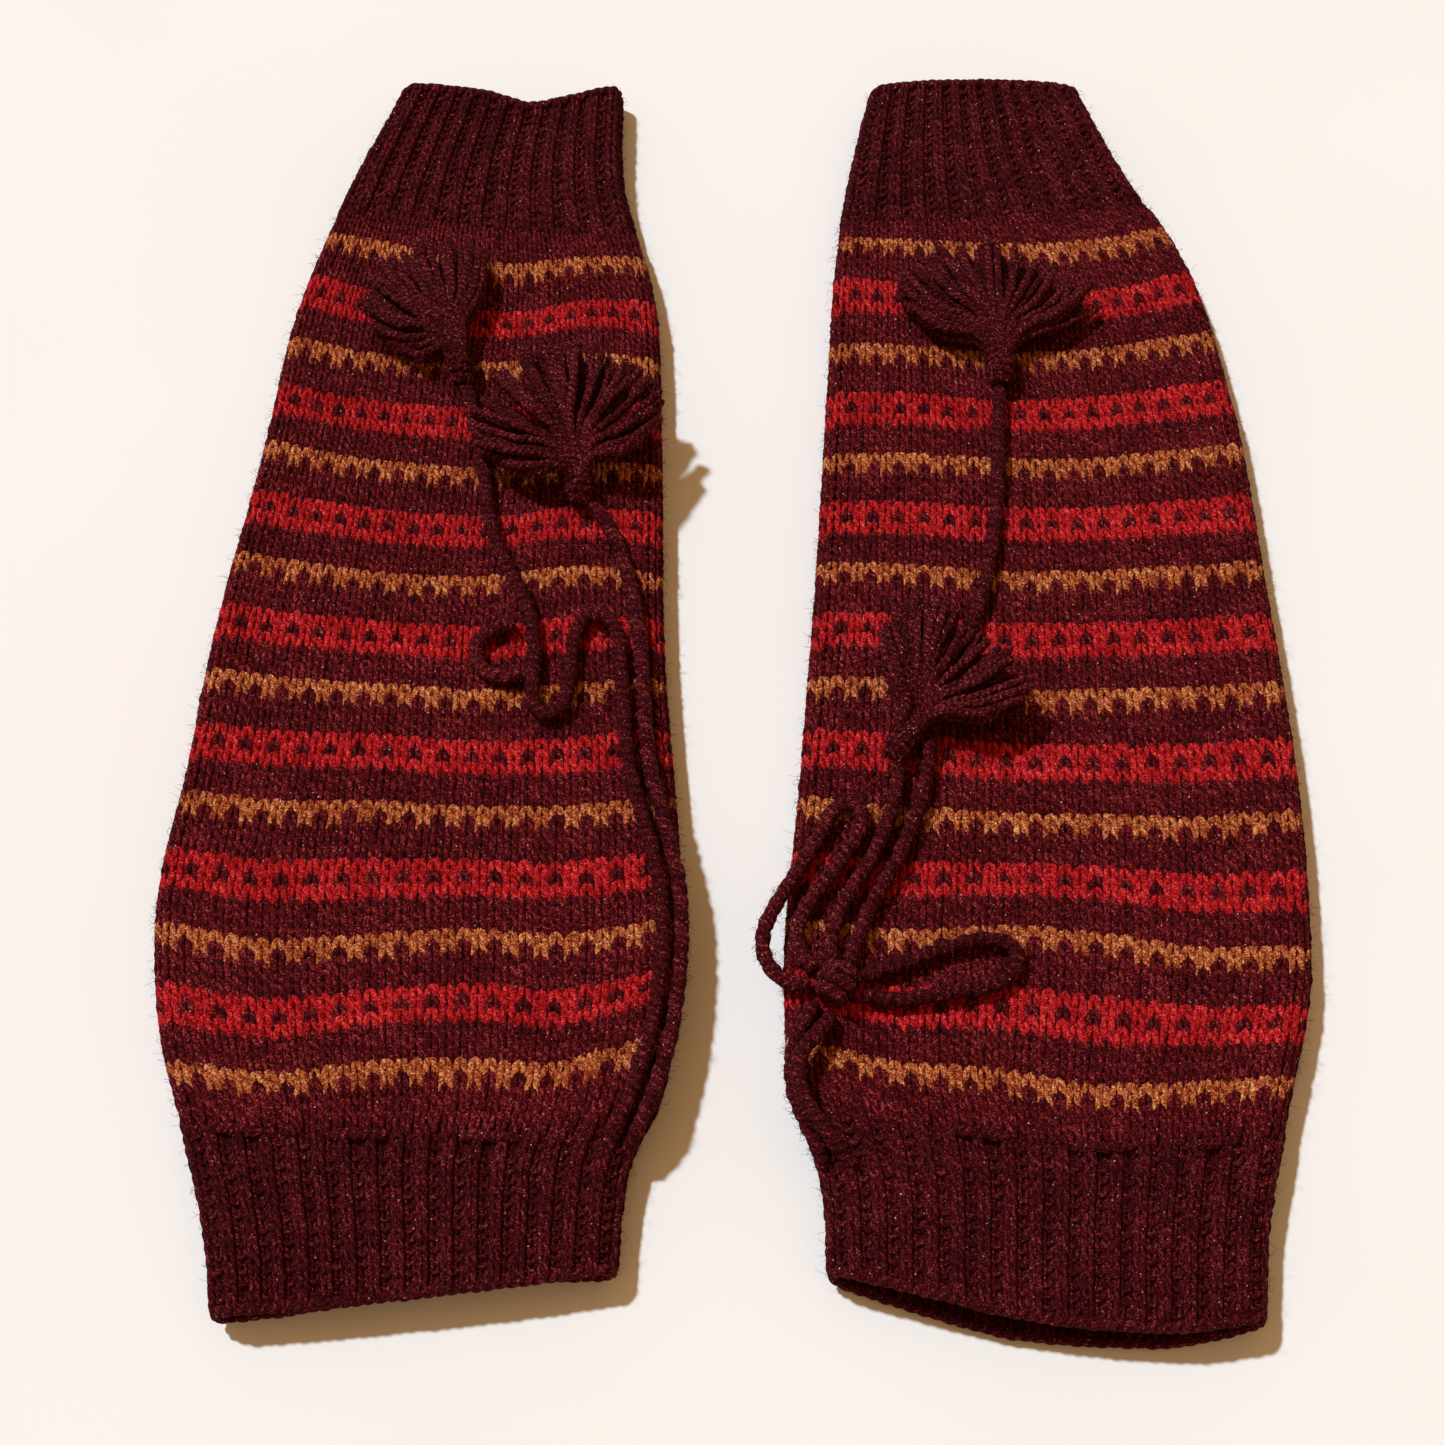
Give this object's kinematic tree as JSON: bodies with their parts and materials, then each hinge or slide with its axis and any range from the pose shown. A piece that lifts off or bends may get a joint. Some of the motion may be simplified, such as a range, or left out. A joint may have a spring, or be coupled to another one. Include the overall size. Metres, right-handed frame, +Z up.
{
  "type": "pair of knitted leg warmers",
  "caption": "Pair of striped knitted leg warmers lying flat: tapered hollow tubes with ribbed cuffs, a threaded drawcord at the knee and yarn tassels on its free ends.",
  "frame": {"origin": "under the middle of the pair, on the surface that the pair lies on", "axes": "+Z up from that surface, +Y along the legs from the wide knee hems to the narrow ankle edges, +X across the pair from the left warmer to the right one"},
  "size_m": [0.2995, 0.3864, 0.0242],
  "materials": {
    "yarn_burgundy": "matt burgundy acrylic yarn, knitted in one-by-one rib",
    "yarn_patterned": "matt acrylic yarn in burgundy, scarlet and caramel, stranded stocking stitch",
    "yarn_red": "matt scarlet acrylic yarn",
    "yarn_caramel": "matt caramel acrylic yarn",
    "yarn_cord": "burgundy yarn twisted into a cord",
    "yarn_tassel": "cut lengths of twisted burgundy yarn"
  },
  "bodies": {
    "left_warmer": {"left_ankle_cuff": "yarn_burgundy", "left_leg": "yarn_patterned", "left_knee_cuff": "yarn_burgundy", "left_drawcord_run": "yarn_cord", "left_cord_1": "yarn_cord", "left_cord_2": "yarn_cord", "left_cord_curl": "yarn_cord"},
    "right_warmer": {"right_ankle_cuff": "yarn_burgundy", "right_leg": "yarn_patterned", "right_knee_cuff": "yarn_burgundy", "right_drawcord_run": "yarn_cord", "right_cord_1": "yarn_cord", "right_cord_2": "yarn_cord", "right_bow_loop_1": "yarn_cord", "right_bow_loop_2": "yarn_cord", "right_cord_lead_1": "yarn_cord", "right_cord_lead_2": "yarn_cord", "right_bow_knot": "yarn_cord"},
    "left_tassel_1": {"left_tassel_1_head": "yarn_tassel", "left_tassel_1_skirt": "yarn_tassel"},
    "left_tassel_2": {"left_tassel_2_head": "yarn_tassel", "left_tassel_2_skirt": "yarn_tassel"},
    "right_tassel_1": {"right_tassel_1_head": "yarn_tassel", "right_tassel_1_skirt": "yarn_tassel"},
    "right_tassel_2": {"right_tassel_2_head": "yarn_tassel", "right_tassel_2_skirt": "yarn_tassel"}
  },
  "joints": [
    {"name": "right_warmer_apart", "type": "slide", "parent": "left_warmer", "child": "right_warmer", "axis": [1, 0, 0], "range_m": [0, 0.12]},
    {"name": "left_tassel_1_swing", "type": "hinge", "parent": "left_warmer", "child": "left_tassel_1", "pos_m": [-0.078, 0.079, 0.0135], "axis": [0, 0, 1], "range_deg": [-25, 25]},
    {"name": "left_tassel_2_swing", "type": "hinge", "parent": "left_warmer", "child": "left_tassel_2", "pos_m": [-0.043, 0.0385, 0.0135], "axis": [0, 0, 1], "range_deg": [-25, 25]},
    {"name": "right_tassel_1_swing", "type": "hinge", "parent": "right_warmer", "child": "right_tassel_1", "pos_m": [0.0765, 0.079, 0.0135], "axis": [0, 0, 1], "range_deg": [-25, 25]},
    {"name": "right_tassel_2_swing", "type": "hinge", "parent": "right_warmer", "child": "right_tassel_2", "pos_m": [0.044, -0.041, 0.0135], "axis": [0, 0, 1], "range_deg": [-25, 25]}
  ]
}
